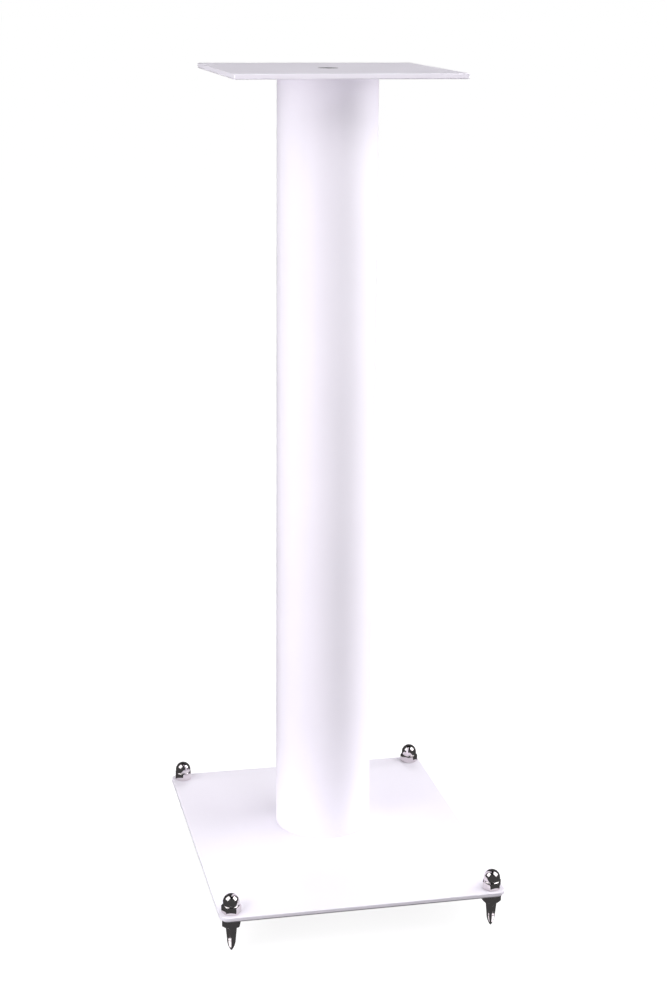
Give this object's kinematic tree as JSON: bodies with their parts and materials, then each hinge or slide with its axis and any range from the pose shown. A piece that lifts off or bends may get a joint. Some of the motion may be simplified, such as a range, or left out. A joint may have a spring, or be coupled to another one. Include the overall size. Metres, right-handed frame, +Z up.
{
  "type": "speaker stand",
  "caption": "Floor-standing column stand for a small loudspeaker: a tube between two flat plates, levelled on screw-adjusted pointed feet.",
  "frame": {"origin": "on the floor, at the spike tips' level, under the middle of the base plate", "axes": "+Z up along the column, +X to the stand's right seen from the front, -Y towards the front"},
  "size_m": [0.22, 0.27, 0.635],
  "materials": {
    "white_powder_coat": "satin",
    "chrome_plate": "polished",
    "black_steel": "black oxide",
    "zinc_plate": "zinc plated",
    "bare_steel": "mill finish"
  },
  "bodies": {
    "stand": {"top_plate": "white_powder_coat", "top_screw": "black_steel", "top_cross_bar": "bare_steel", "column_tube": "white_powder_coat", "bottom_cross_bar": "bare_steel", "base_plate": "white_powder_coat", "base_screw": "black_steel", "base_spring_washer": "zinc_plate", "base_washer": "zinc_plate"},
    "spike_front_left": {"spike_front_left": "chrome_plate"},
    "lock_nut_front_left": {"lock_nut_front_left": "chrome_plate"},
    "dome_nut_front_left": {"dome_nut_front_left": "chrome_plate"},
    "spike_front_right": {"spike_front_right": "chrome_plate"},
    "lock_nut_front_right": {"lock_nut_front_right": "chrome_plate"},
    "dome_nut_front_right": {"dome_nut_front_right": "chrome_plate"},
    "spike_back_left": {"spike_back_left": "chrome_plate"},
    "lock_nut_back_left": {"lock_nut_back_left": "chrome_plate"},
    "dome_nut_back_left": {"dome_nut_back_left": "chrome_plate"},
    "spike_back_right": {"spike_back_right": "chrome_plate"},
    "lock_nut_back_right": {"lock_nut_back_right": "chrome_plate"},
    "dome_nut_back_right": {"dome_nut_back_right": "chrome_plate"}
  },
  "joints": [
    {"name": "spike_front_left_drop", "type": "slide", "parent": "stand", "child": "spike_front_left", "axis": [0, 0, -1], "range_m": [0, 0.00625]},
    {"name": "lock_nut_front_left_turn", "type": "hinge", "parent": "stand", "child": "lock_nut_front_left", "pos_m": [-0.1005, -0.1255, 0.02375], "axis": [0, 0, 1], "range_deg": [0, 1800]},
    {"name": "dome_nut_front_left_turn", "type": "hinge", "parent": "stand", "child": "dome_nut_front_left", "pos_m": [-0.1005, -0.1255, 0.0345], "axis": [0, 0, 1], "range_deg": [0, 1800]},
    {"name": "spike_front_right_drop", "type": "slide", "parent": "stand", "child": "spike_front_right", "axis": [0, 0, -1], "range_m": [0, 0.00625]},
    {"name": "lock_nut_front_right_turn", "type": "hinge", "parent": "stand", "child": "lock_nut_front_right", "pos_m": [0.1005, -0.1255, 0.02375], "axis": [0, 0, 1], "range_deg": [0, 1800]},
    {"name": "dome_nut_front_right_turn", "type": "hinge", "parent": "stand", "child": "dome_nut_front_right", "pos_m": [0.1005, -0.1255, 0.0345], "axis": [0, 0, 1], "range_deg": [0, 1800]},
    {"name": "spike_back_left_drop", "type": "slide", "parent": "stand", "child": "spike_back_left", "axis": [0, 0, -1], "range_m": [0, 0.00625]},
    {"name": "lock_nut_back_left_turn", "type": "hinge", "parent": "stand", "child": "lock_nut_back_left", "pos_m": [-0.1005, 0.1255, 0.02375], "axis": [0, 0, 1], "range_deg": [0, 1800]},
    {"name": "dome_nut_back_left_turn", "type": "hinge", "parent": "stand", "child": "dome_nut_back_left", "pos_m": [-0.1005, 0.1255, 0.0345], "axis": [0, 0, 1], "range_deg": [0, 1800]},
    {"name": "spike_back_right_drop", "type": "slide", "parent": "stand", "child": "spike_back_right", "axis": [0, 0, -1], "range_m": [0, 0.00625]},
    {"name": "lock_nut_back_right_turn", "type": "hinge", "parent": "stand", "child": "lock_nut_back_right", "pos_m": [0.1005, 0.1255, 0.02375], "axis": [0, 0, 1], "range_deg": [0, 1800]},
    {"name": "dome_nut_back_right_turn", "type": "hinge", "parent": "stand", "child": "dome_nut_back_right", "pos_m": [0.1005, 0.1255, 0.0345], "axis": [0, 0, 1], "range_deg": [0, 1800]}
  ],
  "couplings": [
    {"joint": "lock_nut_front_left_turn", "follows": "spike_front_left_drop", "rad_per_m": 5026.5},
    {"joint": "dome_nut_front_left_turn", "follows": "spike_front_left_drop", "rad_per_m": 5026.5},
    {"joint": "lock_nut_front_right_turn", "follows": "spike_front_right_drop", "rad_per_m": 5026.5},
    {"joint": "dome_nut_front_right_turn", "follows": "spike_front_right_drop", "rad_per_m": 5026.5},
    {"joint": "lock_nut_back_left_turn", "follows": "spike_back_left_drop", "rad_per_m": 5026.5},
    {"joint": "dome_nut_back_left_turn", "follows": "spike_back_left_drop", "rad_per_m": 5026.5},
    {"joint": "lock_nut_back_right_turn", "follows": "spike_back_right_drop", "rad_per_m": 5026.5},
    {"joint": "dome_nut_back_right_turn", "follows": "spike_back_right_drop", "rad_per_m": 5026.5}
  ]
}
